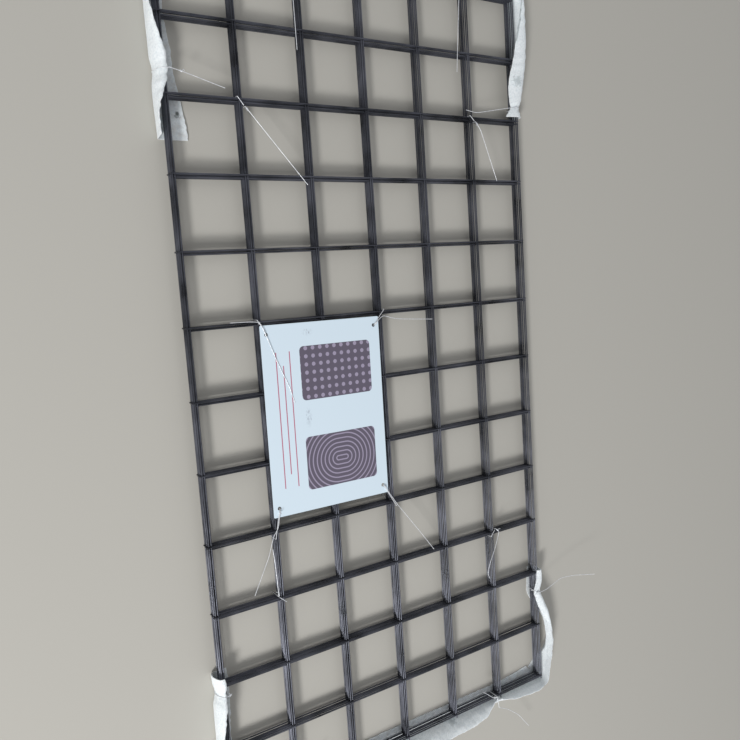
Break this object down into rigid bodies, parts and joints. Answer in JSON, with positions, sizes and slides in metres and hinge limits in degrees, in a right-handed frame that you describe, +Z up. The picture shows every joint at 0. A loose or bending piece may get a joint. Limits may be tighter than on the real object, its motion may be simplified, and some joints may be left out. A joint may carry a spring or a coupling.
{
  "type": "bundle of welded wire mesh sheets",
  "caption": "Flat bundle of nested welded wire mesh sheets with square openings, foam strips round its ends, a plain label board wired on top and twisted tie wires.",
  "frame": {"origin": "on the floor under the middle of the bundle, 2 mm below the underside of the lowest sheet", "axes": "+X across the sheets, +Y along them, +Z up"},
  "size_m": [1.1024, 1.982, 0.0932],
  "materials": {
    "mesh_wire": "dark drawn and welded steel wire",
    "tie_wire": "galvanised soft steel wire",
    "foam": "closed-cell foam sheet",
    "board": "printed plastic board"
  },
  "bodies": {
    "root": {"board_tie_far_left": "tie_wire", "board_tie_far_right": "tie_wire", "board_tie_near_left": "tie_wire", "board_tie_near_right": "tie_wire", "foam_strip_far": "foam", "foam_strip_near": "foam", "label_board": "board", "sheet_01": "mesh_wire", "sheet_02": "mesh_wire", "sheet_03": "mesh_wire", "sheet_04": "mesh_wire", "sheet_05": "mesh_wire", "sheet_06": "mesh_wire", "sheet_07": "mesh_wire", "sheet_08": "mesh_wire", "sheet_09": "mesh_wire", "sheet_10": "mesh_wire", "strip_tie_far_end_left": "tie_wire", "strip_tie_far_end_right": "tie_wire", "strip_tie_far_left": "tie_wire", "strip_tie_far_right": "tie_wire", "strip_tie_near_end_left": "tie_wire", "strip_tie_near_end_right": "tie_wire", "strip_tie_near_left": "tie_wire", "strip_tie_near_right": "tie_wire", "tie_far_left": "tie_wire", "tie_far_right": "tie_wire", "tie_near_left": "tie_wire", "tie_near_right": "tie_wire"}
  },
  "joints": []
}
